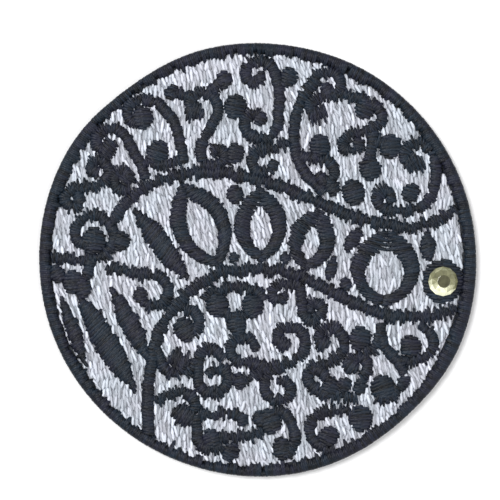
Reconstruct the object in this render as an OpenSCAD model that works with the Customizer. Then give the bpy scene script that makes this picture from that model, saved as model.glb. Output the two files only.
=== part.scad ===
/* [Patch] */
// Diameter of the patch over its border
patch_d = 76; // [74:1:100]
// Thickness of the ground cloth with its backing
cloth_t = 1.0; // [0.8:0.1:1.4]
// Thickness of the white fill stitching
fill_t = 0.4; // [0.3:0.05:0.6]
// Thickness of the dark satin stitching on the fill
satin_t = 0.45; // [0.3:0.05:0.6]

/* [Border] */
// Width of the border ring
border_w = 2.1; // [1.8:0.1:2.4]
// Height of the border ring above the ground cloth
border_h = 1.1; // [0.9:0.05:1.4]

/* [Scrolls] */
// Width of the satin curls and stems
curl_w = 1.9; // [1.5:0.05:2.0]
// Width of the two long rails
rail_w = 2.1; // [1.6:0.05:2.2]
// Width of the outline of each band leaf
leaf_w = 2.7; // [2.2:0.1:3.0]

/* [Stone] */
// Width of the stone over its girdle
stone_d = 5.2; // [4.4:0.1:5.2]
// Height of the stone above the satin
stone_h = 1.9; // [1.5:0.1:2.4]
// Number of facets round the crown
stone_facets = 12; // [8:1:16]

/* [Hidden] */

dark_thread = [0.16, 0.18, 0.21];
white_thread = [0.86, 0.87, 0.91];
twill = [0.13, 0.14, 0.16];
champagne = [0.80, 0.79, 0.60];

// Every chart below is in millimetres on a patch of this diameter, with x to the right and y up
chart_d = 76;
unit = patch_d / chart_d;
// Clearance under each layer of stitching, and between neighbouring shapes in one layer
seat = 0.02;
gap = 0.12;
outline_steps = 96;
// Turn between the points of a curl, and the points over which it swells from half its width
wind_step = 15;
slim_points = 5;
// Steps of a path that are laid as one stretch of ribbon
stretch = 4;
// How far a run follows its headings, and how much its round ends swell
pull_share = 1.1;
end_swell = 0.07;
// Thickness of a leaf's outline at its tips, as a share of its width at the sides
leaf_tip = 0.9;

// Where the cut edge bulges or falls in: [direction in degrees, change of radius]
edge_chart = [
    [-22, 0.58], [12, 0.32], [55, 0.22], [84, -0.05], [104, 0.02], [126, -0.36],
    [150, 0.35], [190, 0.20], [250, -0.08], [285, 0.12], [312, -0.08], [338, 0.58],
];

// Section of the border ring: [way across from the inner edge, part of the height]
border_section = [[0, 0], [0, 0.45], [0.12, 0.80], [0.35, 1], [0.65, 1], [0.88, 0.80], [1, 0.45], [1, 0]];

// Stations of the two rails from left to right: [x, y, heading in degrees]
upper_rail_chart = [
    [-25.4, 6.5, 50], [-20.6, 12.3, 38], [-16.0, 14.1, 25], [-9.0, 15.3, 0], [0.0, 14.0, -12],
    [9.7, 10.5, -22], [19.3, 6.9, -13], [29.2, 6.0, 12], [36.6, 10.4, 36],
];
lower_rail_chart = [
    [-19.0, -32.0, 92], [-19.2, -24.3, 90], [-18.5, -17.6, 82], [-15.0, -9.0, 55], [-8.7, -3.4, 28],
    [0.8, -1.6, 0], [9.7, -3.8, -27], [18.0, -8.1, -22], [25.5, -10.1, -4], [36.6, -8.2, 16],
];

// Curls: [x, y, dot_dir, dot_off, dot_r, turn, radius, end_x, end_y, end_dir]. Each one winds about x, y
// from its dot, which lies dot_off away in the direction dot_dir, out to its radius,
// then runs on to its end.
upper_left_curls = [
    [-20.3, 25.3,  -60, 0.5, 2.0, -220, 3.0, -13.0, 16.9,  -88],
    [-26.0, 20.1, -100, 0.7, 1.8, -230, 3.2, -19.7, 14.2,  -80],
    [-28.3, 15.5,  190, 0.6, 1.3, -260, 2.5, -32.9, 12.2,  190],
    [-32.0, 10.6,    0, 0.8, 1.2, -240, 1.8, -29.5, 12.9,    0],
    [-23.2, 14.2,   20, 0.5, 1.4,  230, 2.1, -22.3, 12.2,  -10],
];
top_curls = [
    [-10.2, 26.4,  210, 0.9, 1.7, -235, 3.4,  -9.6, 17.4,  -62],
    [  0.2, 32.2,  -40, 0.5, 1.0, -300, 2.9,   4.0, 27.8,  -90],
    [  0.3, 24.3,   45, 0.5, 1.2,  330, 3.5,   4.0, 28.2,   90],
    [ -7.2, 18.3,  100, 0.9, 1.1, -190, 1.8, -10.0, 16.6,  180],
    [  1.2, 17.1,  -25, 1.6, 1.0, -235, 2.2,   5.6, 20.4,   15],
];
cartouche_curls = [
    [ 12.5, 30.4, -110, 0.8, 1.3,  250, 2.6,   6.4, 21.5,  -90],
    [ 11.1, 26.0,  225, 0.8, 1.7, -135, 2.6,  15.6, 28.9,  -18],
    [ 27.8, 17.4, -120, 0.8, 1.8, -230, 3.4,  27.4,  8.7,  183],
    [ 11.2, 14.9,  -90, 0.8, 1.2,  200, 2.8,   7.6, 18.4,  160],
    [ 22.5, 10.7,   10, 1.0, 1.0,  160, 1.7,  21.2,  9.9,  -75],
];
left_curls = [
    [-29.1,   4.0,  -60, 0.8, 2.3, -330, 4.1, -36.0,  0.2,  185],
    [-18.4,  -5.6,  195, 2.2, 1.3,  255, 3.0, -26.5, -1.4,  165],
];
dome_left_curls = [
    [-12.8, -11.8,  -80, 0.5, 2.1,  170, 3.4, -14.2, -8.2,  170],
    [-14.0, -17.5,    0, 0.3, 1.9, -170, 2.9, -18.0, -15.2, 100],
    [ -7.4, -20.7,  130, 1.2, 0.9, -310, 3.0,  -9.4, -15.8,  45],
    [-13.4, -26.5,  -60, 0.9, 2.0,  160, 3.3, -18.0, -24.5, 190],
];
dome_middle_curls = [
    [ -2.5, -15.8,   20, 2.2, 1.0,  270, 2.3,   1.5, -19.0, -20],
    [  4.2,  -6.0,  -60, 0.9, 1.0, -210, 1.7,   7.5,  -4.8, -30],
    [  9.8,  -8.7,  170, 0.6, 0.8, -350, 2.0,   7.5,  -4.8,  95],
    [  5.1, -14.3,  200, 0.9, 1.6, -260, 3.6,  -0.6, -20.6, 235],
    [  4.0, -22.3,   75, 1.2, 1.0, -305, 2.8,   4.5, -18.6,  20],
];
dome_right_curls = [
    [ 12.1, -14.5,  200, 0.8, 1.3, -260, 3.3,   8.8, -20.2, -100],
    [ 17.0, -18.6,  180, 0.6, 1.5, -240, 2.5,  18.4, -21.6,  -90],
];

// Stems: [x, y, heading, end_x, end_y, end_heading]
upper_left_stems = [[-20.0, 16.6, 0, -13.6, 16.8, 5]];
top_stems = [[-15.0, 28.8, 10, -11.4, 29.0, 10], [-9.0, 29.3, 10, -6.2, 31.0, 60]];
cartouche_stems = [
    [  6.4,  21.5,  -90,  11.8,  11.9,  -35],
    [ 15.6,  28.9,  -18,  21.9,  24.9,  -88],
    [ 21.9,  24.9,  -88,  18.0,  22.2,  180],
    [ 18.0,  22.2,  180,  14.9,  20.0,  -90],
    [ 14.9,  20.0,  -90,  18.2,  19.9,   60],
    [ 20.2,  22.3,  -80,  19.6,  17.4, -100],
    [ 20.3,  20.8,    0,  23.0,  20.4,    0],
    [ 21.3,   9.8,  -65,  27.4,   8.7,    3],
];
left_stems = [[-30.2, -3.4, 60, -29.3, -0.2, 95]];
dome_left_stems = [
    [ -9.4, -15.8,   45,  -5.8, -17.2,  -50],
    [-12.6, -20.0,   20, -10.8, -17.6,   80],
    [ -5.0, -21.0,  -10,  -1.0, -20.6,   25],
    [-10.8, -27.4,  -80, -10.5, -31.4,  -90],
    [-10.5, -31.4,  -90,  -6.2, -32.6,   30],
    [-10.4, -26.9,  -10,  -2.6, -27.6,  -30],
];
dome_middle_stems = [
    [ -9.0,  -7.0,   70,  -4.0,  -4.9,    0],
    [ -4.0,  -4.9,    0,   1.2,  -7.0,  -75],
    [ -6.2,  -9.4,  -30,  -1.2,  -9.4,   30],
    [ -3.4, -12.5,  -80,  -2.6, -14.0,  -60],
];
dome_right_stems = [
    [ 21.7, -11.2,  -85,  18.6, -16.4,  185],
    [ 21.9, -13.6,  -90,  25.6, -20.0,  -85],
    [ 25.0, -17.4,  -35,  31.0, -14.6,   92],
    [ 31.0, -14.6,   92,  28.4, -11.4,  150],
    [ 25.8, -20.6,  -90,  21.0, -24.2,  145],
    [  9.6, -18.6,  -30,  13.6, -21.4,  -30],
    [  8.8, -19.8, -100,  17.5, -24.0,    5],
];
foot_stems = [
    [ -6.6, -31.2,    0,   1.0, -30.0,   30],
    [  2.8, -26.4,   10,   6.7, -31.4,  -88],
    [  6.7, -31.4,  -88,   5.2, -34.6, -120],
    [ 13.6, -33.3,  190,   9.1, -29.6,   92],
    [  9.1, -29.6,   92,  12.5, -26.4,    5],
    [ 12.5, -26.4,    5,  17.5, -27.0,  -10],
];

// Dots: [x, y, radius]
upper_left_dots = [[-17.5, 18.8, 2.1]];
top_dots = [[-15.0, 29.3, 1.3], [-5.8, 31.5, 1.5], [5.5, 31.9, 1.7], [-3.9, 18.6, 1.7], [-3.9, 26.8, 2.1]];
cartouche_dots = [[18.9, 26.4, 1.8], [17.8, 20.2, 1.1], [23.3, 19.8, 2.1], [19.8, 15.9, 2.0],
                  [13.1, 12.6, 1.4], [11.0, 20.0, 1.9], [26.9, 11.7, 1.6]];
left_dots = [[-23.9, 3.2, 1.7], [-32.2, -3.9, 2.0], [-30.5, -5.0, 1.6], [-35.1, -2.5, 1.5]];
dome_left_dots = [[-3.0, -21.3, 1.4], [-8.0, -31.3, 1.7], [-2.6, -28.0, 1.1]];
dome_middle_dots = [[-7.0, -7.9, 2.1], [-0.8, -8.1, 2.0], [-3.6, -11.4, 1.8]];
dome_right_dots = [[18.0, -13.8, 2.0], [18.1, -22.4, 1.2], [12.8, -22.6, 1.7], [15.3, -22.0, 1.3],
                   [26.9, -15.2, 1.9], [22.0, -22.5, 2.3]];
foot_dots = [[-4.6, -33.7, 1.6], [2.2, -28.3, 2.2], [0.4, -27.8, 1.3], [4.4, -33.1, 1.9],
             [12.5, -31.0, 1.8], [18.1, -27.8, 2.2]];
loose_dots = [[16.9, 11.8, 2.2]];

// The strokes of each field: [curls, stems, dots]
upper_left = [upper_left_curls, upper_left_stems, upper_left_dots];
top = [top_curls, top_stems, top_dots];
cartouche = [cartouche_curls, cartouche_stems, cartouche_dots];
left = [left_curls, left_stems, left_dots];
dome_left = [dome_left_curls, dome_left_stems, dome_left_dots];
dome_middle = [dome_middle_curls, dome_middle_stems, dome_middle_dots];
dome_right = [dome_right_curls, dome_right_stems, dome_right_dots];
foot = [[], foot_stems, foot_dots];

// Leaves of the middle band, the slim ones laid whole:
// [x, y, length, width, lean in degrees from upright]
leaf_chart = [
    [-16.9, 2.7, 15.4, 4.2, 38], [-9.9, 6.05, 15.9, 10.2, 24], [0.6, 6.1, 12.8, 9.2, 1],
    [9.6, 3.45, 10.7, 8.2, -14], [22.4, -1.5, 12.8, 12.1, -4], [13.0, -1.5, 4.4, 2.1, -12],
    [16.8, 3.5, 5.0, 2.5, -28], [29.9, 2.3, 5.2, 2.8, 6],
];
// Berries between the leaves, the last one under the stone: [x, y, radius]
berry_chart = [
    [-3.9, 11.4, 1.55], [-4.1, 0.3, 0.9], [4.9, 0.3, 1.0], [15.5, -4.3, 1.05],
    [32.5, -3.8, 3.8],
];

// Blades at the lower left: [x, y, length, width, lean in degrees from upright]
blade_chart = [
    [-32.2, -12.6, 13.0, 2.6, 20], [-26.4, -14.6, 20.0, 4.6, 31], [-22.2, -11.4, 15.0, 3.6, 28],
];

stone_at = [32.5, -3.8];
table_d = 0.46 * stone_d;
girdle_h = 0.3;

field_r = chart_d / 2 - border_w / unit;
fill_z = cloth_t + seat;
satin_z = fill_z + fill_t + seat;

function heading(a) = [cos(a), sin(a)];

// Points of a smooth run from p, heading a, to q, heading b, without its first point
function run(p, a, q, b, steps = 8) =
    let (pull = norm(q - p) * pull_share)
    [for (i = [1:steps]) let (t = i / steps, s = 1 - t)
        s * s * (1 + 2 * t) * p + t * s * s * pull * heading(a)
        + t * t * (3 - 2 * t) * q - t * t * s * pull * heading(b)];

function stem_path(s) =
    concat([[s[0], s[1]]], run([s[0], s[1]], s[2], [s[3], s[4]], s[5]));

function rail_path(chart) =
    concat([[chart[0][0], chart[0][1]]],
           [for (i = [1:len(chart) - 1], p = run([chart[i - 1][0], chart[i - 1][1]], chart[i - 1][2],
                                                 [chart[i][0], chart[i][1]], chart[i][2], 5)) p]);

function curl_path(c) =
    let (steps = ceil(abs(c[5]) / wind_step), way = sign(c[5]),
         winding = [for (i = [0:steps]) let (t = i / steps, r = c[6] - (c[6] - c[3]) * pow(1 - t, 2))
                       [c[0], c[1]] + r * heading(c[2] + c[5] * t)])
    concat(winding, run(winding[steps], c[2] + c[5] + 90 * way, [c[7], c[8]], c[9]));

function curl_dot(c) = [c[0] + c[3] * cos(c[2]), c[1] + c[3] * sin(c[2]), c[4]];

// Left-hand normal of a path at its point i
function normal(path, i) =
    let (d = path[min(i + 1, len(path) - 1)] - path[max(i - 1, 0)])
    [-d[1], d[0]] / norm(d);

// Radius of the cut edge in the direction a
function edge_r(a) =
    let (k = max([for (i = [0:len(edge_chart) - 2]) edge_chart[i][0] <= a ? i : 0]),
         p = edge_chart[k], q = edge_chart[k + 1], t = (a - p[0]) / (q[0] - p[0]))
    (chart_d / 2 + p[1] + (q[1] - p[1]) * (1 - cos(180 * t)) / 2) * unit;

// Directions of the outline's points, and the shift that centres the outline on the origin
edge_dirs = [for (i = [0:outline_steps - 1]) edge_chart[0][0] + 360 * i / outline_steps];
outline = [for (a = edge_dirs) edge_r(a) * heading(a)];
outline_x = [for (p = outline) p[0]];
outline_y = [for (p = outline) p[1]];
centring = -[max(outline_x) + min(outline_x), max(outline_y) + min(outline_y)] / 2;

// A ribbon of width w along a path, slimmer over its first few points. It is laid in short stretches,
// so that a winding may pass over itself.
module ribbon(path, w, slim = 0) {
    last = len(path) - 1;
    half = [for (i = [0:last]) w / 2 * (i < slim ? 0.5 + 0.5 * i / slim : 1)];
    for (first = [0:stretch:last - 1]) {
        stop = min(first + stretch, last);
        polygon(concat([for (i = [first:stop]) path[i] - half[i] * normal(path, i)],
                       [for (i = [stop:-1:first]) path[i] + half[i] * normal(path, i)]));
    }
}

// The shapes below are drawn larger all round by grow where a neighbour has to stay clear of them
module dot(d, grow = 0) {
    translate([d[0], d[1]]) circle(r = d[2] + grow, $fn = 48);
}

// A slightly swollen round end, so that runs which meet overlap
module round_end(p, grow = 0) {
    dot([p[0], p[1], curl_w / 2 + end_swell], grow);
}

module curl(c, grow = 0) {
    path = curl_path(c);
    ribbon(path, curl_w + 2 * grow, slim_points);
    dot(curl_dot(c), grow);
    round_end(path[len(path) - 1], grow);
}

module stem(s, grow = 0) {
    ribbon(stem_path(s), curl_w + 2 * grow);
    round_end([s[0], s[1]], grow);
    round_end([s[3], s[4]], grow);
}

module strokes(group, grow = 0) {
    for (c = group[0]) curl(c, grow);
    for (s = group[1]) stem(s, grow);
    for (d = group[2]) dot(d, grow);
}

// A pointed leaf made of two arcs
module leaf(long, wide) {
    r = (long * long + wide * wide) / (4 * wide);
    intersection() {
        translate([wide / 2 - r, 0]) circle(r = r, $fn = 120);
        translate([r - wide / 2, 0]) circle(r = r, $fn = 120);
    }
}

module leaves(chart, grow = 0) {
    for (l = chart) translate([l[0], l[1]]) rotate(l[4])
        leaf(l[2] + 2 * grow * l[2] / l[3], l[3] + 2 * grow);
}

// Places flat chart shapes in the satin layer
module satin() {
    color(dark_thread) translate([centring[0], centring[1], satin_z]) linear_extrude(satin_t)
        scale(unit) children();
}

module field() {
    circle(r = field_r - gap, $fn = 180);
}

// A rail with clearance along both sides and past its left end
module rail_room(chart) {
    ribbon(rail_path(chart), rail_w + 2 * gap);
    translate([chart[0][0], chart[0][1]]) rotate(chart[0][2]) square([2 * gap, rail_w + 2 * gap], center = true);
}

// Keeps chart shapes inside the border and clear of both rails
module inside_field() {
    difference() {
        intersection() {
            children();
            field();
        }
        rail_room(upper_rail_chart);
        rail_room(lower_rail_chart);
    }
}

// One field's strokes in satin, cut back where they would touch the strokes of its neighbours
module scrolls(group, neighbours = []) {
    satin() inside_field() difference() {
        strokes(group);
        for (n = neighbours) strokes(n, gap);
    }
}

module rail(chart) {
    satin() intersection() {
        ribbon(rail_path(chart), rail_w);
        field();
    }
}

module ground_cloth() {
    color(twill) translate(centring) linear_extrude(cloth_t) polygon(outline);
}

module white_fill() {
    color(white_thread) translate([centring[0], centring[1], fill_z]) linear_extrude(fill_t)
        scale(unit) field();
}

// The domed ring, swept round the outline as one closed skin
module border() {
    n = len(border_section);
    inner = field_r * unit;
    points = [for (i = [0:outline_steps - 1], s = border_section)
                 let (r = inner + (edge_r(edge_dirs[i]) - inner) * s[0])
                 [r * cos(edge_dirs[i]), r * sin(edge_dirs[i]), border_h * s[1]]];
    faces = [for (i = [0:outline_steps - 1], j = [0:n - 1])
                let (a = i * n, b = ((i + 1) % outline_steps) * n, k = (j + 1) % n)
                [a + j, b + j, b + k, a + k]];
    color(dark_thread) translate([centring[0], centring[1], fill_z])
        polyhedron(points, faces, convexity = 4);
}

module upper_rail() {
    rail(upper_rail_chart);
}

module lower_rail() {
    rail(lower_rail_chart);
}

module scrolls_upper_left() {
    scrolls(upper_left);
}

module scrolls_top() {
    scrolls(top, [cartouche]);
}

module scrolls_cartouche() {
    scrolls(cartouche);
}

module scrolls_left() {
    satin() inside_field() difference() {
        strokes(left);
        leaves(leaf_chart, gap);
        leaves(blade_chart, gap);
    }
}

module scrolls_dome_left() {
    scrolls(dome_left, [dome_middle]);
}

module scrolls_dome_middle() {
    scrolls(dome_middle);
}

module scrolls_dome_right() {
    scrolls(dome_right, [dome_middle]);
}

module scrolls_foot() {
    scrolls(foot, [dome_left, dome_middle, dome_right]);
}

module satin_dot() {
    scrolls([[], [], loose_dots]);
}

module band_leaves() {
    satin() inside_field() {
        for (l = leaf_chart) translate([l[0], l[1]]) rotate(l[4]) difference() {
            leaf(l[2], l[3]);
            if (l[3] > 2 * leaf_w) leaf(l[2] - 2 * leaf_tip * leaf_w, l[3] - 2 * leaf_w);
        }
        for (b = berry_chart) dot(b);
    }
}

module side_blades() {
    satin() inside_field() leaves(blade_chart);
}

// Flat back and short girdle below, then slanted facets up to the table
module rhinestone() {
    color(champagne)
    translate([stone_at[0] * unit + centring[0], stone_at[1] * unit + centring[1], satin_z + satin_t + seat])
    hull() {
        cylinder(h = girdle_h, d = stone_d, $fn = stone_facets);
        rotate(180 / stone_facets) cylinder(h = stone_h, d = table_d, $fn = stone_facets);
    }
}

ground_cloth();
white_fill();
border();
upper_rail();
lower_rail();
scrolls_upper_left();
scrolls_top();
scrolls_cartouche();
scrolls_left();
scrolls_dome_left();
scrolls_dome_middle();
scrolls_dome_right();
scrolls_foot();
satin_dot();
band_leaves();
side_blades();
rhinestone();
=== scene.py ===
import math

import bmesh
import bpy
import numpy as np
from mathutils import Matrix, Vector
from mathutils.bvhtree import BVHTree


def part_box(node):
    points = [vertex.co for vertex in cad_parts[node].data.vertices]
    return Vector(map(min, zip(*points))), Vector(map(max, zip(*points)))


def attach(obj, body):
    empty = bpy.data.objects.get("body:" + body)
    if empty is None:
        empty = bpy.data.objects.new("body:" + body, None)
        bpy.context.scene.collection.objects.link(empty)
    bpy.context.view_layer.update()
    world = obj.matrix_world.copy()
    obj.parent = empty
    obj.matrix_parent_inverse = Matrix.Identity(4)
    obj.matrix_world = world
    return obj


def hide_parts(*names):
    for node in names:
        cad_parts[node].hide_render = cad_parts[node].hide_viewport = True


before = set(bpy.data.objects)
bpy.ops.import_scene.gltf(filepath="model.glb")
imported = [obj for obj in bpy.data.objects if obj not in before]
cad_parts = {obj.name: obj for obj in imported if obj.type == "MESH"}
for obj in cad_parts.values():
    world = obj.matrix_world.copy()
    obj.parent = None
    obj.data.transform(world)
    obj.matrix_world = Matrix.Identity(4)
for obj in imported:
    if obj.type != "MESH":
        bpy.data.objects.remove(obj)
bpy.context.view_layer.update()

# Sizes are in millimetres on the patch, with x to the right and y up, until a mesh is made
MM = 0.001
rng = np.random.default_rng(11)

# Heights, and the middle and radius of the stitched field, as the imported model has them
fill_low, fill_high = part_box("white_fill")
field_centre = (fill_low + fill_high) / 2
field_r = (fill_high.x - fill_low.x) / 2 / MM
cloth_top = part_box("ground_cloth")[1].z / MM
fill_top = fill_high.z / MM
satin_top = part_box("upper_rail")[1].z / MM
border_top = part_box("border")[1].z / MM
stone_low, stone_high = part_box("rhinestone")

# Where the cut edge bulges or falls in: direction in degrees, radius
edge_chart = np.array([
    (-22, 38.58), (12, 38.32), (55, 38.22), (84, 37.95), (104, 38.02), (126, 37.64),
    (150, 38.35), (190, 38.20), (250, 37.92), (285, 38.12), (312, 37.92), (338, 38.58),
])

# Stations of the two rails from left to right: x, y, heading in degrees
upper_rail_chart = [
    (-25.4, 6.5, 50), (-20.6, 12.3, 38), (-16.0, 14.1, 25), (-9.0, 15.3, 0), (0.0, 14.0, -12),
    (9.7, 10.5, -22), (19.3, 6.9, -13), (29.2, 6.0, 12), (36.6, 10.4, 36),
]
lower_rail_chart = [
    (-19.0, -32.0, 92), (-19.2, -24.3, 90), (-18.5, -17.6, 82), (-15.0, -9.0, 55), (-8.7, -3.4, 28),
    (0.8, -1.6, 0), (9.7, -3.8, -27), (18.0, -8.1, -22), (25.5, -10.1, -4), (36.6, -8.2, 16),
]

# The strokes of each field. Curls are x, y, dot_dir, dot_off, dot_r, turn, radius, end_x, end_y, end_dir:
# each winds about x, y from its dot, which lies dot_off away in the direction dot_dir, out to its radius,
# then runs on to its end. Stems are x, y, heading, end_x, end_y, end_heading. Dots are x, y, radius.
scroll_charts = {
    "scrolls_upper_left": {
        "curls": [
            (-20.3, 25.3, -60, 0.5, 2.0, -220, 3.0, -13.0, 16.9, -88),
            (-26.0, 20.1, -100, 0.7, 1.8, -230, 3.2, -19.7, 14.2, -80),
            (-28.3, 15.5, 190, 0.6, 1.3, -260, 2.5, -32.9, 12.2, 190),
            (-32.0, 10.6, 0, 0.8, 1.2, -240, 1.8, -29.5, 12.9, 0),
            (-23.2, 14.2, 20, 0.5, 1.4, 230, 2.1, -22.3, 12.2, -10),
        ],
        "stems": [(-20.0, 16.6, 0, -13.6, 16.8, 5)],
        "dots": [(-17.5, 18.8, 2.1)],
    },
    "scrolls_top": {
        "curls": [
            (-10.2, 26.4, 210, 0.9, 1.7, -235, 3.4, -9.6, 17.4, -62),
            (0.2, 32.2, -40, 0.5, 1.0, -300, 2.9, 4.0, 27.8, -90),
            (0.3, 24.3, 45, 0.5, 1.2, 330, 3.5, 4.0, 28.2, 90),
            (-7.2, 18.3, 100, 0.9, 1.1, -190, 1.8, -10.0, 16.6, 180),
            (1.2, 17.1, -25, 1.6, 1.0, -235, 2.2, 5.6, 20.4, 15),
        ],
        "stems": [(-15.0, 28.8, 10, -11.4, 29.0, 10), (-9.0, 29.3, 10, -6.2, 31.0, 60)],
        "dots": [
            (-15.0, 29.3, 1.3), (-5.8, 31.5, 1.5), (5.5, 31.9, 1.7), (-3.9, 18.6, 1.7), (-3.9, 26.8, 2.1),
        ],
    },
    "scrolls_cartouche": {
        "curls": [
            (12.5, 30.4, -110, 0.8, 1.3, 250, 2.6, 6.4, 21.5, -90),
            (11.1, 26.0, 225, 0.8, 1.7, -135, 2.6, 15.6, 28.9, -18),
            (27.8, 17.4, -120, 0.8, 1.8, -230, 3.4, 27.4, 8.7, 183),
            (11.2, 14.9, -90, 0.8, 1.2, 200, 2.8, 7.6, 18.4, 160),
            (22.5, 10.7, 10, 1.0, 1.0, 160, 1.7, 21.2, 9.9, -75),
        ],
        "stems": [
            (6.4, 21.5, -90, 11.8, 11.9, -35), (15.6, 28.9, -18, 21.9, 24.9, -88),
            (21.9, 24.9, -88, 18.0, 22.2, 180), (18.0, 22.2, 180, 14.9, 20.0, -90),
            (14.9, 20.0, -90, 18.2, 19.9, 60), (20.2, 22.3, -80, 19.6, 17.4, -100),
            (20.3, 20.8, 0, 23.0, 20.4, 0), (21.3, 9.8, -65, 27.4, 8.7, 3),
        ],
        "dots": [
            (18.9, 26.4, 1.8), (17.8, 20.2, 1.1), (23.3, 19.8, 2.1), (19.8, 15.9, 2.0),
            (13.1, 12.6, 1.4), (11.0, 20.0, 1.9), (26.9, 11.7, 1.6),
        ],
    },
    "scrolls_left": {
        "curls": [
            (-29.1, 4.0, -60, 0.8, 2.3, -330, 4.1, -36.0, 0.2, 185),
            (-18.4, -5.6, 195, 2.2, 1.3, 255, 3.0, -26.5, -1.4, 165),
        ],
        "stems": [(-30.2, -3.4, 60, -29.3, -0.2, 95)],
        "dots": [(-23.9, 3.2, 1.7), (-32.2, -3.9, 2.0), (-30.5, -5.0, 1.6), (-35.1, -2.5, 1.5)],
    },
    "scrolls_dome_left": {
        "curls": [
            (-12.8, -11.8, -80, 0.5, 2.1, 170, 3.4, -14.2, -8.2, 170),
            (-14.0, -17.5, 0, 0.3, 1.9, -170, 2.9, -18.0, -15.2, 100),
            (-7.4, -20.7, 130, 1.2, 0.9, -310, 3.0, -9.4, -15.8, 45),
            (-13.4, -26.5, -60, 0.9, 2.0, 160, 3.3, -18.0, -24.5, 190),
        ],
        "stems": [
            (-9.4, -15.8, 45, -5.8, -17.2, -50), (-12.6, -20.0, 20, -10.8, -17.6, 80),
            (-5.0, -21.0, -10, -1.0, -20.6, 25), (-10.8, -27.4, -80, -10.5, -31.4, -90),
            (-10.5, -31.4, -90, -6.2, -32.6, 30), (-10.4, -26.9, -10, -2.6, -27.6, -30),
        ],
        "dots": [(-3.0, -21.3, 1.4), (-8.0, -31.3, 1.7), (-2.6, -28.0, 1.1)],
    },
    "scrolls_dome_middle": {
        "curls": [
            (-2.5, -15.8, 20, 2.2, 1.0, 270, 2.3, 1.5, -19.0, -20),
            (4.2, -6.0, -60, 0.9, 1.0, -210, 1.7, 7.5, -4.8, -30),
            (9.8, -8.7, 170, 0.6, 0.8, -350, 2.0, 7.5, -4.8, 95),
            (5.1, -14.3, 200, 0.9, 1.6, -260, 3.6, -0.6, -20.6, 235),
            (4.0, -22.3, 75, 1.2, 1.0, -305, 2.8, 4.5, -18.6, 20),
        ],
        "stems": [
            (-9.0, -7.0, 70, -4.0, -4.9, 0), (-4.0, -4.9, 0, 1.2, -7.0, -75),
            (-6.2, -9.4, -30, -1.2, -9.4, 30), (-3.4, -12.5, -80, -2.6, -14.0, -60),
        ],
        "dots": [(-7.0, -7.9, 2.1), (-0.8, -8.1, 2.0), (-3.6, -11.4, 1.8)],
    },
    "scrolls_dome_right": {
        "curls": [
            (12.1, -14.5, 200, 0.8, 1.3, -260, 3.3, 8.8, -20.2, -100),
            (17.0, -18.6, 180, 0.6, 1.5, -240, 2.5, 18.4, -21.6, -90),
        ],
        "stems": [
            (21.7, -11.2, -85, 18.6, -16.4, 185), (21.9, -13.6, -90, 25.6, -20.0, -85),
            (25.0, -17.4, -35, 31.0, -14.6, 92), (31.0, -14.6, 92, 28.4, -11.4, 150),
            (25.8, -20.6, -90, 21.0, -24.2, 145), (9.6, -18.6, -30, 13.6, -21.4, -30),
            (8.8, -19.8, -100, 17.5, -24.0, 5),
        ],
        "dots": [
            (18.0, -13.8, 2.0), (18.1, -22.4, 1.2), (12.8, -22.6, 1.7), (15.3, -22.0, 1.3),
            (26.9, -15.2, 1.9), (22.0, -22.5, 2.3),
        ],
    },
    "scrolls_foot": {
        "curls": [],
        "stems": [
            (-6.6, -31.2, 0, 1.0, -30.0, 30), (2.8, -26.4, 10, 6.7, -31.4, -88),
            (6.7, -31.4, -88, 5.2, -34.6, -120), (13.6, -33.3, 190, 9.1, -29.6, 92),
            (9.1, -29.6, 92, 12.5, -26.4, 5), (12.5, -26.4, 5, 17.5, -27.0, -10),
        ],
        "dots": [
            (-4.6, -33.7, 1.6), (2.2, -28.3, 2.2), (0.4, -27.8, 1.3), (4.4, -33.1, 1.9),
            (12.5, -31.0, 1.8), (18.1, -27.8, 2.2),
        ],
    },
    "satin_dot": {"curls": [], "stems": [], "dots": [(16.9, 11.8, 2.2)]},
}

# Leaves of the middle band, the slim ones laid whole:
# x, y, length, width, lean in degrees from upright
leaf_chart = [
    (-16.9, 2.7, 15.4, 4.2, 38), (-9.9, 6.05, 15.9, 10.2, 24), (0.6, 6.1, 12.8, 9.2, 1),
    (9.6, 3.45, 10.7, 8.2, -14), (22.4, -1.5, 12.8, 12.1, -4), (13.0, -1.5, 4.4, 2.1, -12),
    (16.8, 3.5, 5.0, 2.5, -28), (29.9, 2.3, 5.2, 2.8, 6),
]
# Berries between the leaves, the last one under the stone: x, y, radius
berry_chart = [
    (-3.9, 11.4, 1.55), (-4.1, 0.3, 0.9), (4.9, 0.3, 1.0), (15.5, -4.3, 1.05),
    (32.5, -3.8, 3.8),
]
# Blades at the lower left: x, y, length, width, lean in degrees from upright
blade_chart = [
    (-32.2, -12.6, 13.0, 2.6, 20), (-26.4, -14.6, 20.0, 4.6, 31), (-22.2, -11.4, 15.0, 3.6, 28),
]

# Widths of the curls, the rails and a leaf's two sides, and how far each leaf tip is closed, in those widths
curl_w, rail_w = 1.9, 2.1
leaf_w, leaf_tip = 2.7, 0.9
# How strongly a run leaves in its own direction, and the turn over which a curl grows to its full width
pull_share = 1.1
slim_turn = 75

# Dark thread: its width and thickness as laid, and the step from each satin row to the next
thread_w, thread_t = 0.64, 0.16
row_step = 0.28
# How far the end rows of a dot, and of a leaf or blade, are drawn in, in shares of that step
dot_inset, leaf_inset = 0.35, 0.40

# White thread: its thickness, and the direction in which the fill runs, in degrees
fill_thread_t = 0.34
fill_lean = 99

# Satin rows whose middle lies past this radius are left out, because the border covers them
field_edge = field_r + 0.3
# How far each kind of satin stands above the level of the berries
curl_lifts = (0.0, 0.04)
blade_lift, ball_lift, dot_lift, rail_lift = 0.03, 0.05, 0.06, 0.10


# Paths of the strokes

def heading(degrees):
    """Unit vectors in these directions."""
    a = np.radians(degrees)
    return np.stack([np.cos(a), np.sin(a)], -1)


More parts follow.
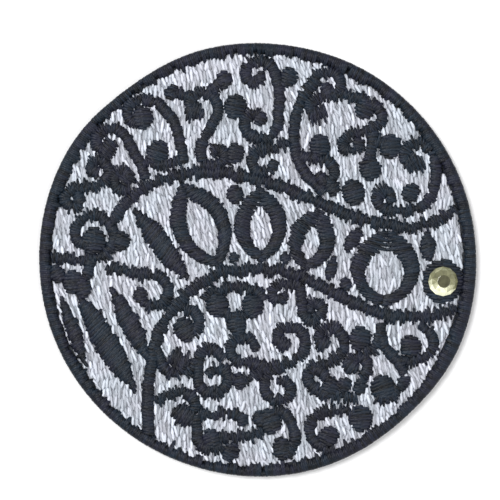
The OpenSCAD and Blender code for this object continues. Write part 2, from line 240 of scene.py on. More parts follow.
def run(p, a, q, b, steps=16):
    """Points of a smooth run from p, heading a, to q, heading b, without its first point."""
    p, q = np.array(p, float), np.array(q, float)
    pull = np.linalg.norm(q - p) * pull_share
    t = np.linspace(0, 1, steps + 1)[1:, None]
    s = 1 - t
    return (s * s * (1 + 2 * t) * p + t * s * s * pull * heading(a)
            + t * t * (3 - 2 * t) * q - t * t * s * pull * heading(b))


# Each line comes as points from its start to its end, with half the stroke's width at each point

def stem_line(stem):
    x, y, a, end_x, end_y, b = stem
    line = np.vstack([[(x, y)], run((x, y), a, (end_x, end_y), b)])
    return line, np.full(len(line), curl_w / 2)


def rail_line(chart):
    parts = [[chart[0][:2]]]
    for (x, y, a), (end_x, end_y, b) in zip(chart, chart[1:]):
        parts.append(run((x, y), a, (end_x, end_y), b))
    line = np.vstack(parts)
    return line, np.full(len(line), rail_w / 2)


def curl_line(curl):
    x, y, dot_dir, dot_off, dot_r, turn, radius, end_x, end_y, end_dir = curl
    steps = math.ceil(abs(turn) / 5)
    t = np.linspace(0, 1, steps + 1)
    r = radius - (radius - dot_off) * (1 - t) ** 2
    winding = np.array([x, y]) + r[:, None] * heading(dot_dir + turn * t)
    way = math.copysign(90, turn)
    line = np.vstack([winding, run(winding[-1], dot_dir + turn + way, (end_x, end_y), end_dir)])
    half = np.full(len(line), curl_w / 2)
    half[:steps + 1] *= np.minimum(1, 0.5 + 0.5 * t * abs(turn) / slim_turn)
    return line, half


def curl_dot(curl):
    """The dot in which a curl starts, as x, y, radius."""
    x, y, dot_dir, dot_off, dot_r = curl[:5]
    centre = np.array([x, y]) + dot_off * heading(dot_dir)
    return centre[0], centre[1], dot_r


def edge_r(degrees):
    """Radius of the cut edge in each direction."""
    first = edge_chart[0, 0]
    a = (np.asarray(degrees, float) - first) % 360 + first
    k = np.clip(np.searchsorted(edge_chart[:, 0], a, side="right") - 1, 0, len(edge_chart) - 2)
    start, end = edge_chart[k], edge_chart[k + 1]
    t = (a - start[..., 0]) / (end[..., 0] - start[..., 0])
    return start[..., 1] + (end[..., 1] - start[..., 1]) * (1 - np.cos(np.pi * t)) / 2


# Satin rows between two edges

def column_edges(line, half):
    """The two edges of a satin column, with points where the needle goes down, closer where it bends."""
    gaps = np.linalg.norm(np.diff(line, axis=0), axis=1)
    along = np.concatenate([[0], np.cumsum(gaps)])
    way = np.gradient(line, axis=0)
    way /= np.linalg.norm(way, axis=1)[:, None]
    angle = np.unwrap(np.arctan2(way[:, 1], way[:, 0]))
    # How sharply the line bends, in radians for each millimetre
    bend = np.abs(np.gradient(angle, np.maximum(along, np.arange(len(along)) * 1e-6)))
    crowd = (1 + np.minimum(bend, 1) * half) / row_step
    count = np.concatenate([[0], np.cumsum(gaps * (crowd[1:] + crowd[:-1]) / 2)])
    rows = max(int(round(count[-1])), 2)
    at = np.interp(np.linspace(0, count[-1], rows + 1), count, along)
    centre = np.stack([np.interp(at, along, line[:, i]) for i in (0, 1)], -1)
    turned = np.interp(at, along, angle)
    left = np.stack([-np.sin(turned), np.cos(turned)], -1) * np.interp(at, along, half)[:, None]
    return centre + left, centre - left


def dot_edges(dot, lean):
    """The two edges of a round satin dot whose rows run in the direction lean."""
    x, y, r = dot
    end_half = 0.2
    rows = max(int(round(2 * r / row_step)), 4)
    at = np.linspace(-r, r, rows + 1) * (1 - dot_inset / rows)
    half = np.maximum(np.sqrt(np.maximum(r * r - at * at, 0)), end_half)
    across, onward = heading(lean), heading(lean + 90)
    centre = np.array([x, y]) + at[:, None] * onward
    return centre + half[:, None] * across, centre - half[:, None] * across


def leaf_half_width(y, long, wide):
    """Half the width of a pointed leaf of two arcs, y from its middle."""
    r = (long * long + wide * wide) / (4 * wide)
    return np.maximum(np.sqrt(np.maximum(r * r - y * y, 0)) - (r - wide / 2), 0) * (np.abs(y) < long / 2)


def leaf_edges(leaf, inner_long, inner_wide, side):
    """The inner and outer edge of one side of a leaf, with rows that climb outwards like veins.
    At the tips the rows lap over the middle line."""
    x, y, long, wide, lean = leaf
    climb, tip_lap = 0.35, 0.25
    rows = int(round(long / row_step))
    at = np.linspace(-long / 2, long / 2, rows + 1) * (1 - leaf_inset / rows)
    outer = leaf_half_width(at, long, wide)
    inner = leaf_half_width(at, inner_long, inner_wide)
    inner = np.where(inner > 0, inner, -tip_lap)
    drop = climb * (outer - inner) * (1 - (2 * at / long) ** 2)
    across, onward = heading(lean), heading(lean + 90)
    middle = np.array([x, y])
    outer_at = middle + at[:, None] * onward + side * outer[:, None] * across
    inner_at = middle + (at - drop)[:, None] * onward + side * inner[:, None] * across
    return inner_at, outer_at


def blade_edges(blade):
    """The two edges of a blade, or of a slim leaf, whose rows slant across it from edge to edge."""
    x, y, long, wide, lean = blade
    end_half = 0.15
    rows = int(round(long / row_step))
    at = np.linspace(-long / 2, long / 2, rows + 1) * (1 - leaf_inset / rows)
    half = np.maximum(leaf_half_width(at, long, wide), end_half)
    slant = 0.25 * half
    across, onward = heading(lean), heading(lean + 90)
    middle = np.array([x, y])
    right = middle + (at + slant)[:, None] * onward + half[:, None] * across
    left = middle + (at - slant)[:, None] * onward - half[:, None] * across
    return left, right


def zigzag(left, right):
    """Rows from each needle hole to the next, which lies on the other edge, and how sunk each row is.
    Holes miss the edge a little, and more so where the rows run along the fill and sink between its strands.
    """
    holes = np.where((np.arange(len(left)) % 2 == 0)[:, None], left, right)
    middle = (left + right) / 2
    out = holes - middle
    out /= np.maximum(np.linalg.norm(out, axis=1), 1e-6)[:, None]
    sunk = np.abs(out @ heading(fill_lean)) ** 2.5
    # How far past the edge the holes lie in the middle, how widely they stray from there, and their limits
    past, stray = 0.05 + 0.16 * sunk, 0.08 + 0.32 * sunk
    least, most, jitter = -0.6, 0.75, 0.035
    miss = past + rng.normal(0, 1, len(holes)) * stray
    holes = holes + out * np.clip(miss, least, most)[:, None]
    holes = holes + rng.normal(0, jitter, holes.shape)
    return holes[:-1], holes[1:], np.maximum(sunk[:-1], sunk[1:])


# Strands of thread

class Strand:
    """The form of one strand, as rings round its middle line. at is where each ring lies along the strand,
    from 0 to 1, and full is how full the strand is there."""

    def __init__(self, sides, at, full):
        self.at = np.array(at)
        rings = len(at) - 1
        bm = bmesh.new()
        bmesh.ops.create_uvsphere(bm, u_segments=sides, v_segments=rings, radius=1)
        bm.verts.ensure_lookup_table()
        down = [math.acos(max(-1, min(1, v.co.z))) / math.pi for v in bm.verts]
        self.ring = np.array([round((1 - d) * rings) for d in down])
        self.angle = np.array([math.atan2(v.co.y, v.co.x) for v in bm.verts])
        self.full = np.array(full)[self.ring]
        faces = [[v.index for v in f.verts] for f in bm.faces]
        bm.free()
        self.corners = np.concatenate([np.array(f) for f in faces])
        self.sizes = np.array([len(f) for f in faces])
        self.places = np.array([p for f in faces for p in self.corner_places(f)])

    def corner_places(self, face):
        """Texture places of one face's corners: along the strand, and in turns around it."""
        ends = (0, len(self.at) - 1)
        rounds = {v: self.angle[v] / (2 * math.pi) for v in face if self.ring[v] not in ends}
        if max(rounds.values()) - min(rounds.values()) > 0.5:
            rounds = {v: r + 1 if r < 0 else r for v, r in rounds.items()}
        middle = sum(rounds.values()) / len(rounds)
        return [(self.at[self.ring[v]], rounds.get(v, middle)) for v in face]


satin_strand = Strand(6, [0.0, 0.03, 0.13, 0.5, 0.87, 0.97, 1.0], [0.0, 0.74, 1.0, 1.0, 1.0, 0.74, 0.0])
fill_strand = Strand(5, [0.0, 0.07, 0.25, 0.75, 0.93, 1.0], [0.0, 0.62, 1.0, 1.0, 0.62, 0.0])
border_strand = Strand(6, [0.0, 0.04, 0.20, 0.48, 0.76, 0.92, 0.99, 1.0, 0.99],
                       [0.0, 0.55, 0.88, 1.0, 1.0, 1.0, 1.0, 0.8, 0.0])


def arched_courses(form, starts, ends, base, rise, sharp):
    """The middle line of each strand: it leaves its needle hole steeply, arches over and dives again.
    The sharper the arch, the flatter its top."""
    t = form.at[None, :, None]
    flat = starts[:, None, :] * (1 - t) + ends[:, None, :] * t
    arch = np.sqrt(1 - np.abs(2 * form.at - 1) ** sharp)
    z = base[:, None] + rise[:, None] * arch
    return np.dstack([flat, z])


class Stitches:
    """Strands that are gathered for one piece, then made into one mesh."""

    def __init__(self, form=satin_strand):
        self.form = form
        self.courses, self.widths, self.thicknesses, self.tones = [], [], [], []

    def add(self, courses, width, thickness=thread_t, tone=None):
        """Adds strands along these courses, whose widths differ a little."""
        count = len(courses)
        self.courses.append(courses)
        self.widths.append(width * rng.uniform(0.92, 1.1, count))
        self.thicknesses.append(np.full(count, thickness))
        self.tones.append(rng.random(count) if tone is None else tone)

    def satin(self, edges, lift):
        """Adds the satin rows between two edges. Short rows rise less than long ones, and sunk rows start
        deeper and are slimmer."""
        hole_depth, sunk_depth, sunk_slimming = 0.10, 0.25, 0.24
        starts, ends, sunk = zigzag(*edges)
        kept = np.linalg.norm((starts + ends) / 2, axis=1) < field_edge
        starts, ends, sunk = starts[kept], ends[kept], sunk[kept]
        long = np.linalg.norm(ends - starts, axis=1)
        crest = satin_top - thread_t / 2 + lift
        base = fill_top - hole_depth - sunk_depth * sunk
        rise = (crest - base) * np.minimum(1, 0.45 + long / 2.6) + rng.uniform(-0.02, 0.02, len(long))
        courses = arched_courses(self.form, starts, ends, base, rise, 3.0)
        self.add(courses, thread_w - sunk_slimming * sunk)

    def piece(self, name, material):
        """One mesh of all the strands, with a place along and around each strand and a tone for each."""
        courses = np.concatenate(self.courses)
        widths, thicknesses = np.concatenate(self.widths), np.concatenate(self.thicknesses)
        count = len(courses)
        way = np.gradient(courses, axis=1)
        way /= np.linalg.norm(way, axis=2)[:, :, None]
        chord = courses[:, -1, :2] - courses[:, 0, :2]
        chord /= np.linalg.norm(chord, axis=1)[:, None]
        side = np.stack([-chord[:, 1], chord[:, 0], np.zeros(count)], -1)
        up = np.cross(way, side[:, None, :])
        form = self.form
        across = (np.cos(form.angle) * form.full)[None, :] * widths[:, None] / 2
        above = (np.sin(form.angle) * form.full)[None, :] * thicknesses[:, None] / 2
        points = (courses[:, form.ring] + across[:, :, None] * side[:, None, :]
                  + above[:, :, None] * up[:, form.ring])
        points = points * MM + np.array([field_centre.x, field_centre.y, 0])

        corners, sizes = form.corners, form.sizes
        starts = np.cumsum(sizes) - sizes
        form_points, form_corners = len(form.ring), len(corners)
        mesh = bpy.data.meshes.new(name)
        mesh.vertices.add(count * form_points)
        mesh.vertices.foreach_set("co", points.astype(np.float32).ravel())
        mesh.loops.add(count * form_corners)
        each = np.arange(count)[:, None]
        mesh.loops.foreach_set("vertex_index", (corners + each * form_points).astype(np.int32).ravel())
        mesh.polygons.add(count * len(sizes))
        mesh.polygons.foreach_set("loop_start", (starts + each * form_corners).astype(np.int32).ravel())
        mesh.polygons.foreach_set("use_smooth", np.ones(count * len(sizes), dtype=bool))
        mesh.update(calc_edges=True)

        length = np.linalg.norm(np.diff(courses, axis=1), axis=2).sum(1)
        place = np.empty((count, form_corners, 2), np.float32)
        place[:, :, 0] = form.places[None, :, 0] * length[:, None] + rng.uniform(0, 9, count)[:, None]
        place[:, :, 1] = form.places[None, :, 1]
        mesh.uv_layers.new(name="strand").data.foreach_set("uv", place.ravel())
        tone = mesh.attributes.new("tone", "FLOAT", "POINT")
        tones = np.repeat(np.concatenate(self.tones), form_points)
        tone.data.foreach_set("value", tones.astype(np.float32))
        mesh.validate()
        return dress(bpy.data.objects.new(name, mesh), material)


def dress(piece, material):
    """Puts a new piece into the scene, with its material."""
    piece.data.materials.append(material)
    bpy.context.scene.collection.objects.link(piece)
    return piece


def hand_over(piece, node):
    """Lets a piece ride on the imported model, in place of one of its nodes."""
    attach(piece, "root")
    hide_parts(node)


# Materials

class Shade:
    """A socket in a material, on which sums are written as Python expressions."""

    def __init__(self, tree, socket=None):
        self.tree = tree
        self.socket = socket

    def node(self, kind, settings=None, sockets=None, out=0):
        node = self.tree.nodes.new("ShaderNode" + kind)
        for key, value in (settings or {}).items():
            setattr(node, key, value)
        for key, value in (sockets or {}).items():
            if isinstance(value, Shade):
                self.tree.links.new(value.socket, node.inputs[key])
            else:
                node.inputs[key].default_value = value
        return Shade(self.tree, node.outputs[out] if node.outputs else None)

    def __add__(self, other):
        return self.node("Math", {"operation": "ADD"}, {0: self, 1: other})

    def __sub__(self, other):
        return self.node("Math", {"operation": "SUBTRACT"}, {0: self, 1: other})

    def __rsub__(self, other):
        return self.node("Math", {"operation": "SUBTRACT"}, {0: other, 1: self})

    def __mul__(self, other):
        return self.node("Math", {"operation": "MULTIPLY"}, {0: self, 1: other})


def start_material(name):
    """An empty material, and a shade on which its nodes are made."""
    material = bpy.data.materials.new(name)
    material.use_nodes = True
    tree = material.node_tree
    tree.nodes.clear()
    return material, Shade(tree)


def end_material(shade, colour, roughness, bump, bump_mm, bump_strength, **others):
    """Joins what varies to the surface shader, and sets what is the same all over on it."""
    sockets = {"Base Color": colour, "Roughness": roughness}
    sockets.update({name.replace("_", " "): value for name, value in others.items()})
    sockets["Normal"] = shade.node(
        "Bump", None, {"Height": bump, "Distance": bump_mm * MM, "Strength": bump_strength})
    surface = shade.node("BsdfPrincipled", None, sockets)
    shade.node("OutputMaterial", None, {"Surface": surface})


def mix_colour(shade, share, first, second):
    return shade.node("Mix", {"data_type": "RGBA"}, {0: share, 6: first, 7: second}, 2)


def scale_colour(shade, colour, value):
    return shade.node("VectorMath", {"operation": "SCALE"}, {0: colour, "Scale": value})


def object_place(shade):
    return shade.node("TexCoord", None, None, "Object")


def noise(shade, place, scale, detail, roughness=0.5):
    return shade.node("TexNoise", None, {
        "Vector": place, "Scale": scale, "Detail": detail, "Roughness": roughness})


def ramp(shade, value, low, high):
    """0 up to low, 1 from high on, and an even rise between."""
    return shade.node("MapRange", {"clamp": True}, {0: value, 1: low, 2: high})


def wave(shade, place, pitch):
    """A sine wave that repeats after each pitch along place."""
    return shade.node("Math", {"operation": "SINE"}, {0: place * (2 * math.pi / pitch)})


def split(shade, vector):
    """The three parts of a vector."""
    outs = shade.node("SeparateXYZ", None, {0: vector}).socket.node.outputs
    return [Shade(shade.tree, out) for out in outs]


def thread_material(name, tints, tones, clouds, sheen, sheen_tint, gloss):
    """Thread of twisted fibres: two close tints in patches, strands of unlike tone, and fine fibre lines.
    tones are the shares of the tint that the darkest and the lightest strands show."""
    material, shade = start_material(name)
    place = object_place(shade)
    patch = ramp(shade, noise(shade, place, 190.0, 3.0), 0.42, 0.60)
    tone = shade.node("Attribute", {"attribute_name": "tone"}, None, "Fac")
    along, around, _ = split(shade, shade.node("UVMap", {"uv_map": "strand"}))
    # Two plies wound round each other, and the fibres of each ply
    ply = wave(shade, along * 1.1 + around * 2, 1)
    fibre_place = shade.node("CombineXYZ", None, {0: along * 1.4, 1: around * 9 + along * 3.5, 2: tone * 40})
    fibre = noise(shade, fibre_place, 1.0, 2.0, 0.6)
    cloud = noise(shade, place, 1500.0, 3.0, 0.6)
    darkest, lightest = tones
    # ply * 0.05 makes the raised plies a little lighter and the grooves between them darker: painted shade
    value = (tone * (lightest - darkest) + darkest + (fibre - 0.5) * 0.5 + (cloud - 0.5) * clouds
             + ply * 0.05)
    colour = scale_colour(shade, mix_colour(shade, patch, *tints), value)
    end_material(shade, colour, fibre * 0.25 + 0.38, ply * 0.4 + fibre, 0.05, 0.7,
                 Sheen_Weight=sheen, Sheen_Roughness=0.4, Sheen_Tint=sheen_tint, Specular_IOR_Level=gloss)
    return material


def twill_material():
    """Dark twill with its paper-like backing at the foot of the cut edge and underneath."""
    wale_pitch, thread_pitch = 0.9 * MM, 0.45 * MM
    backing_low, backing_high = 0.18 * MM, 0.22 * MM
    material, shade = start_material("ground twill")
    place = object_place(shade)
    x, y, z = split(shade, place)
    diagonal = wave(shade, x + y, wale_pitch)
    threads = wave(shade, x - y, thread_pitch)
    fibres = noise(shade, place, 4000.0, 3.0)
    backing = 1 - ramp(shade, z, backing_low, backing_high)
    twill = scale_colour(shade, (0.022, 0.026, 0.033), diagonal * 0.18 + threads * 0.08 + 0.8 + fibres * 0.4)
    paper = scale_colour(shade, (0.36, 0.36, 0.37), fibres * 0.5 + 0.72)
    colour = mix_colour(shade, backing, twill, paper)
    end_material(shade, colour, fibres * 0.2 + 0.72, diagonal * 0.5 + threads * 0.2 + fibres, 0.06, 0.6,
                 Sheen_Weight=0.15)
    return material


def bed_material():
    """Under-stitching below the white fill: rows of the same thread laid the other way, painted greyer than
    the fill as painted shade in the gaps between its strands.
    """
    row_pitch = 0.5 * MM
    material, shade = start_material("fill bed thread")
    place = object_place(shade)
    _, y, _ = split(shade, place)
    rows = wave(shade, y, row_pitch)
    fibres = noise(shade, place, 3000.0, 3.0)
    colour = scale_colour(shade, (0.48, 0.49, 0.56), rows * 0.08 + 0.75 + fibres * 0.4)
    end_material(shade, colour, fibres * 0.2 + 0.6, rows * 0.6 + fibres * 0.4, 0.08, 0.7, Sheen_Weight=0.2)
    return material


def stone_material():
    """Champagne glass over foil, with slight wear. Each facet's tone is mostly painted reflection of foil
    and lamps:
    tones under about 0.5 stay olive, and higher ones turn pale as painted highlights, with a painted glow."""
    dark_olive, olive, pale = (0.052, 0.049, 0.024, 1), (0.31, 0.31, 0.17, 1), (1.0, 1.0, 0.72, 1)
    material, shade = start_material("champagne cut glass")
    place = object_place(shade)
    painted_glint = shade.node("Attribute", {"attribute_name": "painted_glint"}, None, "Fac")
    cloud = noise(shade, place, 900.0, 2.0)
    value = painted_glint + (cloud - 0.5) * 0.30
    low = mix_colour(shade, ramp(shade, value, 0.0, 0.45), dark_olive, olive)
    colour = mix_colour(shade, ramp(shade, value, 0.50, 0.85), low, pale)
    specks = noise(shade, place, 5200.0, 2.0)
    # The paler facets also glow through the emission colour: a painted glow of lit foil, where no lamp is
    end_material(shade, colour, ramp(shade, specks, 0.6, 0.8) * 0.08 + 0.16, specks, 0.004, 0.2,
                 Emission_Color=scale_colour(shade, colour, ramp(shade, value, 0.45, 0.9)),
                 Emission_Strength=0.45, Metallic=0.20, Coat_Weight=0.6, Coat_Roughness=0.12, IOR=1.52)
    return material


def floor_material():
    """White paper."""
    material, shade = start_material("pale paper floor")
    place = object_place(shade)
    grain = noise(shade, place, 900.0, 3.0)
    colour = scale_colour(shade, (0.93, 0.93, 0.935), grain * 0.02 + 0.99)
    end_material(shade, colour, grain * 0.1 + 0.75, grain, 0.01, 0.2)
    return material


dark_thread = thread_material(
    "dark satin thread", tints=[(0.0055, 0.0115, 0.0205, 1), (0.0088, 0.0100, 0.0205, 1)],
    tones=(0.40, 1.52), clouds=1.8, sheen=0.01, sheen_tint=(0.50, 0.60, 0.75, 1), gloss=0.28)
white_thread = thread_material(
    "white fill thread", tints=[(0.47, 0.507, 0.565, 1), (0.505, 0.52, 0.582, 1)],
    tones=(0.45, 1.61), clouds=0.2, sheen=0.08, sheen_tint=(1, 1, 1, 1), gloss=0.35)


# Pieces of dark thread

for node, chart in scroll_charts.items():
    stitches = Stitches()
    for curl in chart["curls"]:
        line, half = curl_line(curl)
        stitches.satin(column_edges(line, half), rng.uniform(*curl_lifts))
        first_way = math.degrees(math.atan2(line[1][1] - line[0][1], line[1][0] - line[0][0]))
        stitches.satin(dot_edges(curl_dot(curl), first_way + 90), ball_lift)
    for stem in chart["stems"]:
        stitches.satin(column_edges(*stem_line(stem)), rng.uniform(*curl_lifts))
    for dot in chart["dots"]:
        stitches.satin(dot_edges(dot, rng.uniform(-25, 25)), dot_lift)
    hand_over(stitches.piece(node + "_satin", dark_thread), node)

for node, chart in (("upper_rail", upper_rail_chart), ("lower_rail", lower_rail_chart)):
    stitches = Stitches()
    stitches.satin(column_edges(*rail_line(chart)), rail_lift)
    hand_over(stitches.piece(node + "_satin", dark_thread), node)

stitches = Stitches()
for leaf in leaf_chart:
    # The open heart of a leaf. A slim leaf has none, and its rows go right across it.
    x, y, long, wide, lean = leaf
    heart_long, heart_wide = long - 2 * leaf_tip * leaf_w, wide - 2 * leaf_w
    if heart_wide <= 0:
        stitches.satin(blade_edges(leaf), blade_lift)
        continue
    for side in (-1, 1):
        stitches.satin(leaf_edges(leaf, heart_long, heart_wide, side), blade_lift)
for berry in berry_chart:
    stitches.satin(dot_edges(berry, rng.uniform(-20, 20)), 0.0)
hand_over(stitches.piece("band_leaves_satin", dark_thread), "band_leaves")

stitches = Stitches()
for blade in blade_chart:
    stitches.satin(blade_edges(blade), blade_lift)
hand_over(stitches.piece("side_blades_satin", dark_thread), "side_blades")


# The border: rows from the field over the crest and down the cut edge

def border_rows():
    """Rows that share their needle holes in pairs at the field, and lie side by side at the cut edge."""
    pairs = 330
    hole = np.repeat(np.arange(pairs), 2)
    inner_at = (hole + rng.normal(0, 0.06, pairs)[hole]) * 360 / pairs
    # 1 where a row runs along the fill, at the top and bottom of the patch, and 0 at its sides
    upright = np.sin(np.radians(inner_at)) ** 2
    past, stray = 0.30 - 0.46 * upright, 0.18 + 0.28 * upright
    inner_r = field_r + past + rng.normal(0, 1, pairs)[hole] * stray
    # At the cut edge the middle of a strand lies a little inside the outline
    inset, unevenness = 0.04, 0.015
    outer_at = (np.arange(2 * pairs) - 0.5) * 180 / pairs
    outer_r = edge_r(outer_at) - inset + rng.normal(0, unevenness, 2 * pairs)
    # The rows of a pair part at once, so that the crest of the ring is evenly covered
    across = border_strand.at
    parted = np.minimum(across * 3, 1)
    at = inner_at[:, None] * (1 - parted) + outer_at[:, None] * parted
    reach = inner_r[:, None] * (1 - across) + outer_r[:, None] * across
    flat = reach[:, :, None] * heading(at)
    # A height for each ring of the strand: up out of the hole, over the crest and down the cut edge
    crest = border_top - thread_t / 2
    height = np.array([fill_top - 0.15, fill_top + 0.12, crest - 0.15, crest, crest - 0.10, crest - 0.32,
                       crest - 0.75, 0.55, 0.15])
    z = height[None, :] + rng.uniform(-0.02, 0.02, len(hole))[:, None] * (across > 0) * (across < 0.98)
    # Rows that run along the fill sink between its strands before they rise, and are slimmer
    z[:, :3] -= upright[:, None] * np.array([0.10, 0.22, 0.38])
    widest, slimming = 0.74, 0.24
    return np.dstack([flat, z]), widest - slimming * upright


stitches = Stitches(border_strand)
stitches.add(*border_rows())
hand_over(stitches.piece("border_satin", dark_thread), "border")


# The white fill

def dark_cover():
    """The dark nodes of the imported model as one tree, to tell what lies under them."""
    points, faces = [], []
    for name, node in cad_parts.items():
        if name in ("ground_cloth", "white_fill"):
            continue
        first = len(points)
        points += [v.co.copy() for v in node.data.vertices]
        faces += [[first + i for i in p.vertices] for p in node.data.polygons]
    return BVHTree.FromPolygons(points, faces)


def fill_rows(pitch, stitch, stray):
    """The ends of the stitches in nearly upright rows. pitch is from row to row, stitch is the usual length
    of a stitch and stray how widely its ends miss the row. The stitches of a row lap a little."""
    reach = field_r + 0.5
    shortest, lap = 0.6, 0.12
    onward, across = heading(fill_lean), heading(fill_lean - 90)
    starts, ends = [], []
    rows = int(reach / pitch)
    for row in range(-rows, rows + 1):
        off = row * pitch
        half = math.sqrt(max(reach * reach - off * off, 0.5))
        at = -half - rng.uniform(0, stitch)
        stops = [at]
        while at < half:
            at += stitch * rng.uniform(0.65, 1.35)
            stops.append(at)
        stops = np.clip(np.array(stops), -half, half)
        stops = stops[np.concatenate([[True], np.diff(stops) > shortest])]
        points = off * across + stops[:, None] * onward
        first, last = points[:-1] - lap * onward, points[1:] + lap * onward
        starts.append(first + rng.normal(0, stray, (len(first), 1)) * across)
        ends.append(last + rng.normal(0, stray, (len(last), 1)) * across)
    return sway(np.vstack(starts)), sway(np.vstack(ends))


# Slow waves in the fill: how far it slides, radians for each millimetre of y and of x, and start in radians
sway_chart = [(0.40, 0.26, 0.05, 0.8), (0.50, 0.11, -0.08, 2.1)]


def sway(points):
    """Slides the fill sideways in slow waves, so that its rows don't all lean alike."""
    x, y = points[..., 0], points[..., 1]
    moved = points.copy()
    for far, by_y, by_x, start in sway_chart:
        moved[..., 0] += far * np.sin(y * by_y + x * by_x + start)
    return moved


cover = dark_cover()


def shows(course):
    """True where some point of a strand doesn't lie under the dark stitching."""
    high_above, down = 1.0, Vector((0, 0, -1))
    for x, y, _ in course:
        spot = Vector((x * MM + field_centre.x, y * MM + field_centre.y, high_above))
        if cover.ray_cast(spot, down)[0] is None:
            return True
    return False


def fill_layer(name, pitch, stitch, stray, rises, width, tones):
    """Lays one layer of the white fill: its strands differ in height, and the higher ones are painted
    lighter, as painted light on the high strands and painted shade on the low ones.
    Strands that the dark stitching or the border hides are left out."""
    starts, ends = fill_rows(pitch, stitch, stray)
    standing = rng.random(len(starts))
    foot_depth = 0.20
    base = fill_top - thread_t / 2 - foot_depth + 0.04 * standing
    low, high = rises
    courses = arched_courses(fill_strand, starts, ends, base, low + (high - low) * standing, 4.0)
    kept = np.array([shows(c) for c in courses])
    middle = (starts + ends) / 2
    away = np.linalg.norm(middle, axis=1)
    kept &= away < field_r + 0.1 + 0.5 * (middle[:, 1] / away) ** 2
    dark, light = tones
    # Tone follows height in part: painted light on the high strands, painted shade on the low ones
    tone = dark + (light - dark) * (0.6 * standing + 0.4 * rng.random(len(starts)))
    stitches = Stitches(fill_strand)
    stitches.add(courses[kept], width * (0.9 + 0.25 * standing[kept]), fill_thread_t, tone[kept])
    hand_over(stitches.piece(name, white_thread), "white_fill")


# The under layer is painted darker than the over layer: painted shade below the upper strands
fill_layer("white_fill_under", pitch=0.50, stitch=2.8, stray=0.13, rises=(0.00, 0.14), width=0.66,
           tones=(0.0, 0.5))
fill_layer("white_fill_over", pitch=0.68, stitch=1.85, stray=0.26, rises=(0.14, 0.38), width=0.50,
           tones=(0.25, 1.0))


def disc(name, radii, low, high, soft, material):
    """A disc from low to high, whose outline has one radius for each equal step of direction, and whose
    edges are rounded off by soft."""
    bm = bmesh.new()
    bmesh.ops.create_circle(bm, cap_ends=True, radius=1, segments=len(radii))
    bm.verts.ensure_lookup_table()
    for v in bm.verts:
        a = math.degrees(math.atan2(v.co.y, v.co.x)) % 360
        r = radii[round(a * len(radii) / 360) % len(radii)]
        v.co = Vector((v.co.x * r, v.co.y * r, low))
    made = bmesh.ops.extrude_face_region(bm, geom=bm.faces[:])
    top = [g for g in made["geom"] if isinstance(g, bmesh.types.BMVert)]
    bmesh.ops.translate(bm, verts=top, vec=(0, 0, high - low))
    level = 1e-6
    rims = [e for e in bm.edges if abs(e.verts[0].co.z - e.verts[1].co.z) < level]
    bmesh.ops.bevel(bm, geom=rims, offset=soft, segments=3, profile=0.5, affect="EDGES", material=-1)
    bmesh.ops.scale(bm, verts=bm.verts, vec=(MM, MM, MM))
    bmesh.ops.translate(bm, verts=bm.verts, vec=(field_centre.x, field_centre.y, 0))
    bmesh.ops.recalc_face_normals(bm, faces=bm.faces)
    mesh = bpy.data.meshes.new(name)
    bm.to_mesh(mesh)
    bm.free()
    mesh.polygons.foreach_set("use_smooth", [True] * len(mesh.polygons))
    mesh.set_sharp_from_angle(angle=math.radians(50))
    return dress(bpy.data.objects.new(name, mesh), material)


# The bed of under-stitching, just clear of the cloth
bed_r, bed_steps = field_r + 0.2, 180
bed_low, bed_high = cloth_top + 0.01, cloth_top + 0.16
bed = disc("white_fill_bed", [bed_r] * bed_steps, bed_low, bed_high, 0.05, bed_material())
hand_over(bed, "white_fill")

# The ground cloth under it all, whose cut edge the border's rows wrap
edge_steps, wrap = 240, 0.15
edge_radii = edge_r(np.arange(edge_steps) * 360 / edge_steps) - wrap
cloth = disc("ground_twill", edge_radii, 0.0, cloth_top, 0.12, twill_material())
hand_over(cloth, "ground_cloth")
math.pi * float((edge_radii ** 2).mean()) * MM * MM


# The stone

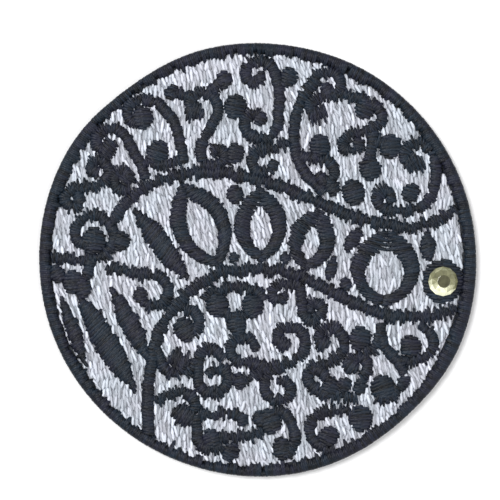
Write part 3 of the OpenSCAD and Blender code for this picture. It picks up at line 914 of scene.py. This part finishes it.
def cut_stone():
    """A flat-back stone: short girdle, two tiers of facets, and a table."""
    facets = 12
    low, tall = stone_low.z, stone_high.z - stone_low.z
    girdle_r = (stone_high.x - stone_low.x) / 2
    # Radius as a share of the girdle's, height as a share of the stone's, and turn as a share of a facet
    rings = [(0.97, 0.0, 0.0), (1.0, 0.07, 0.0), (1.0, 0.16, 0.0), (0.78, 0.60, 0.5), (0.43, 1.0, 0.0)]
    worn = 0.035 * MM
    bm = bmesh.new()
    for radius, share, turn in rings:
        ring = bmesh.ops.create_circle(bm, radius=girdle_r * radius, segments=facets)["verts"]
        spin = Matrix.Rotation(math.radians(360 / facets * turn), 3, "Z")
        bmesh.ops.rotate(bm, verts=ring, cent=(0, 0, 0), matrix=spin)
        bmesh.ops.translate(bm, verts=ring, vec=(0, 0, low + tall * share))
    bmesh.ops.convex_hull(bm, input=bm.verts[:])
    inner = [g for g in bm.verts if not g.link_faces]
    bmesh.ops.delete(bm, geom=inner, context="VERTS")
    loose = [e for e in bm.edges if not e.link_faces]
    bmesh.ops.delete(bm, geom=loose, context="EDGES")
    bmesh.ops.dissolve_limit(bm, angle_limit=math.radians(1), verts=bm.verts[:], edges=bm.edges[:])
    bmesh.ops.bevel(bm, geom=bm.edges[:], offset=worn, segments=1, profile=0.5, affect="EDGES", material=-1)
    bmesh.ops.recalc_face_normals(bm, faces=bm.faces)
    middle = (stone_low + stone_high) / 2
    bmesh.ops.translate(bm, verts=bm.verts, vec=(middle.x, middle.y, 0))
    # Painted reflections: the table is painted dark, and the facets on the lower side, where the foil gives
    # back the light, are painted light; the outer tier is painted a little paler than the inner one
    painted_table_reflection, outer_tone, inner_tone = 0.06, 0.47, 0.30
    lit_side, tier_top = math.radians(256), low + 0.55 * tall
    painted_glint = bm.faces.layers.float.new("painted_glint")
    for face in bm.faces:
        n = face.normal
        if n.z > 0.9:
            face[painted_glint] = painted_table_reflection
            continue
        toward = math.cos(math.atan2(n.y, n.x) - lit_side)
        lit = min(max(toward / 0.85, 0), 1)
        tone = outer_tone if face.calc_center_median().z < tier_top else inner_tone
        face[painted_glint] = tone + 0.50 * lit + rng.uniform(-0.12, 0.12)
    mesh = bpy.data.meshes.new("cut_stone")
    bm.to_mesh(mesh)
    bm.free()
    return dress(bpy.data.objects.new("cut_stone", mesh), stone_material())


hand_over(cut_stone(), "rhinestone")


# Floor, light and camera

def make_floor():
    """A wide floor, just clear of the back of the cloth."""
    half_side, clear = 1.5, 0.05 * MM
    bm = bmesh.new()
    bmesh.ops.create_grid(bm, x_segments=2, y_segments=2, size=half_side)
    bmesh.ops.translate(bm, verts=bm.verts, vec=(0, 0, -clear))
    mesh = bpy.data.meshes.new("floor")
    bm.to_mesh(mesh)
    bm.free()
    dress(bpy.data.objects.new("floor", mesh), floor_material())


def add_lamp(name, place, size, watts):
    """A round white lamp that faces the patch."""
    lamp = bpy.data.lights.new(name, "AREA")
    lamp.shape = "DISK"
    lamp.size, lamp.energy = size, watts
    holder = bpy.data.objects.new(name, lamp)
    holder.location = place
    holder.rotation_euler = (-Vector(place)).to_track_quat("-Z", "Y").to_euler()
    bpy.context.scene.collection.objects.link(holder)


make_floor()
add_lamp("key_light", place=(-0.42, 0.30, 0.85), size=0.52, watts=8.4)
add_lamp("fill_light", place=(0.5, -0.25, 0.75), size=0.6, watts=3.0)
world = bpy.data.worlds.new("pale_room")
world.use_nodes = True
background = world.node_tree.nodes["Background"]
background.inputs["Color"].default_value = (1, 1, 1, 1)
background.inputs["Strength"].default_value = 0.42
bpy.context.scene.world = world

# The camera looks straight down on the point of the patch that the photo has in its middle
photo_x, photo_y, eye_height = -1.345 * MM, 1.7225 * MM, 0.3646
camera = bpy.data.cameras.new("camera")
camera.lens, camera.sensor_width = 150, 36
camera.clip_start = 0.01
eye = bpy.data.objects.new("camera", camera)
eye.location = (photo_x, photo_y, eye_height + satin_top * MM)
bpy.context.scene.collection.objects.link(eye)
bpy.context.scene.camera = eye
bpy.context.scene.view_settings.view_transform = "Standard"
